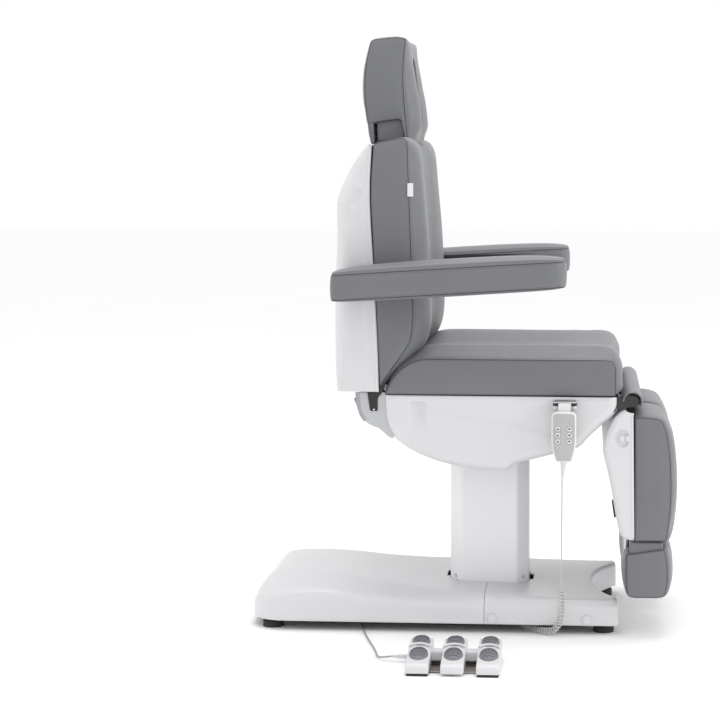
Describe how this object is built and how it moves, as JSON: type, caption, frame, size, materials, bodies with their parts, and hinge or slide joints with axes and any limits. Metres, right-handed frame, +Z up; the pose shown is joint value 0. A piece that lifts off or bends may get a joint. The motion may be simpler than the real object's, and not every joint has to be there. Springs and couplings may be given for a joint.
{
  "type": "facial treatment bed",
  "caption": "Powered facial treatment bed on a lifting column, with tilting seat, reclining back, level armrests, split leg rests, handset and foot control",
  "frame": {"origin": "middle of the footprint of the bed and its foot control, on the floor", "axes": "+X points to the foot end, +Y to the left side of a person in the bed, +Z up"},
  "size_m": [1.1275, 1.096, 1.5736],
  "materials": {
    "black_steel": "semi-gloss",
    "white_cover": "satin",
    "grey_cover": "satin",
    "rubber": "matte",
    "zinc_screw": "satin",
    "dark_plastic": "matte",
    "column_paint": "satin",
    "actuator": "matte",
    "actuator_rod": "satin",
    "upholstery": "satin",
    "handset_white": "satin",
    "button_white": "satin",
    "pedal_grey": "matte",
    "plate_metal": "satin",
    "cord": "satin"
  },
  "bodies": {
    "base": {"base_frame": "black_steel", "base_rear_cover": "white_cover", "base_front_cover": "white_cover", "cover_plugs": "white_cover", "rubber_feet": "rubber", "base_fasteners": "zinc_screw", "control_box": "dark_plastic", "column_outer_tube": "column_paint", "lift_actuator_body": "actuator", "foot_control_plate": "plate_metal", "foot_control_housings": "handset_white", "foot_cord": "cord", "hand_cord_curl": "cord"},
    "lift": {"column_inner_tube": "column_paint", "lift_head": "black_steel", "hand_cord_lead": "cord"},
    "seat": {"seat_frame": "black_steel", "seat_shell": "white_cover", "seat_rear_cover": "grey_cover", "seat_cushion": "upholstery", "knee_cover": "upholstery", "handset_bracket": "zinc_screw", "handset_body": "handset_white"},
    "tilt_actuator": {"tilt_actuator_body": "actuator"},
    "tilt_rod": {"tilt_actuator_rod": "actuator_rod"},
    "backrest_actuator": {"backrest_actuator_body": "actuator"},
    "backrest_rod": {"backrest_actuator_rod": "actuator_rod"},
    "backrest": {"backrest_frame": "black_steel", "backrest_shell": "white_cover", "backrest_cushion": "upholstery"},
    "armrest_links": {"armrest_link_rods": "black_steel"},
    "headrest": {"headrest_cushion": "upholstery"},
    "armrest_right": {"armrest_pad_right": "upholstery", "armrest_bracket_right": "black_steel"},
    "armrest_left": {"armrest_pad_left": "upholstery", "armrest_bracket_left": "black_steel"},
    "leg_right": {"leg_frame_right": "black_steel", "leg_shell_right": "white_cover", "leg_cushion_right": "upholstery"},
    "footpad_right": {"footpad_cushion_right": "upholstery", "footpad_rods_right": "zinc_screw"},
    "release_lever_right": {"release_lever_right": "dark_plastic"},
    "leg_left": {"leg_frame_left": "black_steel", "leg_shell_left": "white_cover", "leg_cushion_left": "upholstery"},
    "footpad_left": {"footpad_cushion_left": "upholstery", "footpad_rods_left": "zinc_screw"},
    "release_lever_left": {"release_lever_left": "dark_plastic"},
    "button_height_up": {"button_height_up": "button_white"},
    "button_height_down": {"button_height_down": "button_white"},
    "button_backrest_up": {"button_backrest_up": "button_white"},
    "button_backrest_down": {"button_backrest_down": "button_white"},
    "button_tilt_up": {"button_tilt_up": "button_white"},
    "button_tilt_down": {"button_tilt_down": "button_white"},
    "pedal_height_up": {"pedal_height_up": "pedal_grey"},
    "pedal_height_down": {"pedal_height_down": "pedal_grey"},
    "pedal_backrest_up": {"pedal_backrest_up": "pedal_grey"},
    "pedal_backrest_down": {"pedal_backrest_down": "pedal_grey"},
    "pedal_tilt_up": {"pedal_tilt_up": "pedal_grey"},
    "pedal_tilt_down": {"pedal_tilt_down": "pedal_grey"}
  },
  "joints": [
    {"name": "seat_height", "type": "slide", "parent": "base", "child": "lift", "axis": [0, 0, 1], "range_m": [-0.085, 0.205], "deforming": ["hand_cord_curl"]},
    {"name": "seat_tilt", "type": "hinge", "parent": "lift", "child": "seat", "pos_m": [0.1275, 0.118, 0.606], "axis": [0, -1, 0], "range_deg": [0, 12], "deforming": ["hand_cord_lead"]},
    {"name": "tilt_actuator_swing", "type": "hinge", "parent": "lift", "child": "tilt_actuator", "pos_m": [-0.1025, 0.118, 0.54], "axis": [0, -1, 0], "range_deg": [-1, 3]},
    {"name": "tilt_actuator_stroke", "type": "slide", "parent": "tilt_actuator", "child": "tilt_rod", "axis": [0.9982, 0, -0.0608], "range_m": [-0.001, 0.02]},
    {"name": "backrest_recline", "type": "hinge", "parent": "seat", "child": "backrest", "pos_m": [-0.2125, 0.118, 0.636], "axis": [0, -1, 0], "range_deg": [0, 88]},
    {"name": "backrest_actuator_swing", "type": "hinge", "parent": "seat", "child": "backrest_actuator", "pos_m": [0.1975, 0.118, 0.56], "axis": [0, -1, 0], "range_deg": [-8, 1]},
    {"name": "backrest_actuator_stroke", "type": "slide", "parent": "backrest_actuator", "child": "backrest_rod", "axis": [-0.9982, 0, 0.0604], "range_m": [-0.07, 0.001]},
    {"name": "armrest_link_swing", "type": "hinge", "parent": "seat", "child": "armrest_links", "pos_m": [-0.2485, 0.118, 0.612], "axis": [0, -1, 0], "range_deg": [0, 88]},
    {"name": "armrest_right_level", "type": "hinge", "parent": "backrest", "child": "armrest_right", "pos_m": [-0.2515, 0.118, 0.942], "axis": [0, -1, 0], "range_deg": [-88, 0]},
    {"name": "armrest_left_level", "type": "hinge", "parent": "backrest", "child": "armrest_left", "pos_m": [-0.2515, 0.118, 0.942], "axis": [0, -1, 0], "range_deg": [-88, 0]},
    {"name": "headrest_tilt", "type": "hinge", "parent": "backrest", "child": "headrest", "pos_m": [-0.2285, 0.118, 1.3], "axis": [0, -1, 0], "range_deg": [-10, 30]},
    {"name": "leg_right_lift", "type": "hinge", "parent": "seat", "child": "leg_right", "pos_m": [0.4495, 0.118, 0.622], "axis": [0, -1, 0], "range_deg": [0, 88]},
    {"name": "footpad_right_slide", "type": "slide", "parent": "leg_right", "child": "footpad_right", "axis": [0, 0, -1], "range_m": [0, 0.085]},
    {"name": "release_lever_right_pull", "type": "hinge", "parent": "leg_right", "child": "release_lever_right", "pos_m": [0.4175, 0.118, 0.338], "axis": [0, 1, 0], "range_deg": [0, 15], "stiffness_Nm_per_rad": 1.2, "springref_deg": -5.73},
    {"name": "leg_left_lift", "type": "hinge", "parent": "seat", "child": "leg_left", "pos_m": [0.4495, 0.118, 0.622], "axis": [0, -1, 0], "range_deg": [0, 88]},
    {"name": "footpad_left_slide", "type": "slide", "parent": "leg_left", "child": "footpad_left", "axis": [0, 0, -1], "range_m": [0, 0.085]},
    {"name": "release_lever_left_pull", "type": "hinge", "parent": "leg_left", "child": "release_lever_left", "pos_m": [0.4175, 0.118, 0.338], "axis": [0, 1, 0], "range_deg": [0, 15], "stiffness_Nm_per_rad": 1.2, "springref_deg": -5.73},
    {"name": "button_height_up_press", "type": "slide", "parent": "seat", "child": "button_height_up", "axis": [0, 1, 0], "range_m": [0, 0.0008], "stiffness_N_per_m": 600, "springref_m": -0.0005},
    {"name": "button_height_down_press", "type": "slide", "parent": "seat", "child": "button_height_down", "axis": [0, 1, 0], "range_m": [0, 0.0008], "stiffness_N_per_m": 600, "springref_m": -0.0005},
    {"name": "button_backrest_up_press", "type": "slide", "parent": "seat", "child": "button_backrest_up", "axis": [0, 1, 0], "range_m": [0, 0.0008], "stiffness_N_per_m": 600, "springref_m": -0.0005},
    {"name": "button_backrest_down_press", "type": "slide", "parent": "seat", "child": "button_backrest_down", "axis": [0, 1, 0], "range_m": [0, 0.0008], "stiffness_N_per_m": 600, "springref_m": -0.0005},
    {"name": "button_tilt_up_press", "type": "slide", "parent": "seat", "child": "button_tilt_up", "axis": [0, 1, 0], "range_m": [0, 0.0008], "stiffness_N_per_m": 600, "springref_m": -0.0005},
    {"name": "button_tilt_down_press", "type": "slide", "parent": "seat", "child": "button_tilt_down", "axis": [0, 1, 0], "range_m": [0, 0.0008], "stiffness_N_per_m": 600, "springref_m": -0.0005},
    {"name": "pedal_height_up_press", "type": "slide", "parent": "base", "child": "pedal_height_up", "axis": [0, 0, -1], "range_m": [0, 0.006], "stiffness_N_per_m": 900, "springref_m": -0.002},
    {"name": "pedal_height_down_press", "type": "slide", "parent": "base", "child": "pedal_height_down", "axis": [0, 0, -1], "range_m": [0, 0.006], "stiffness_N_per_m": 900, "springref_m": -0.002},
    {"name": "pedal_backrest_up_press", "type": "slide", "parent": "base", "child": "pedal_backrest_up", "axis": [0, 0, -1], "range_m": [0, 0.006], "stiffness_N_per_m": 900, "springref_m": -0.002},
    {"name": "pedal_backrest_down_press", "type": "slide", "parent": "base", "child": "pedal_backrest_down", "axis": [0, 0, -1], "range_m": [0, 0.006], "stiffness_N_per_m": 900, "springref_m": -0.002},
    {"name": "pedal_tilt_up_press", "type": "slide", "parent": "base", "child": "pedal_tilt_up", "axis": [0, 0, -1], "range_m": [0, 0.006], "stiffness_N_per_m": 900, "springref_m": -0.002},
    {"name": "pedal_tilt_down_press", "type": "slide", "parent": "base", "child": "pedal_tilt_down", "axis": [0, 0, -1], "range_m": [0, 0.006], "stiffness_N_per_m": 900, "springref_m": -0.002}
  ],
  "couplings": [
    {"joint": "tilt_actuator_swing", "follows": "seat_tilt", "ratio": 0.05328},
    {"joint": "tilt_actuator_stroke", "follows": "seat_tilt", "m_per_rad": 0.078836},
    {"joint": "backrest_actuator_swing", "follows": "backrest_recline", "ratio": -0.0579},
    {"joint": "backrest_actuator_stroke", "follows": "backrest_recline", "m_per_rad": -0.04297},
    {"joint": "armrest_link_swing", "follows": "backrest_recline", "ratio": 1},
    {"joint": "armrest_right_level", "follows": "backrest_recline", "ratio": -1},
    {"joint": "armrest_left_level", "follows": "backrest_recline", "ratio": -1}
  ]
}
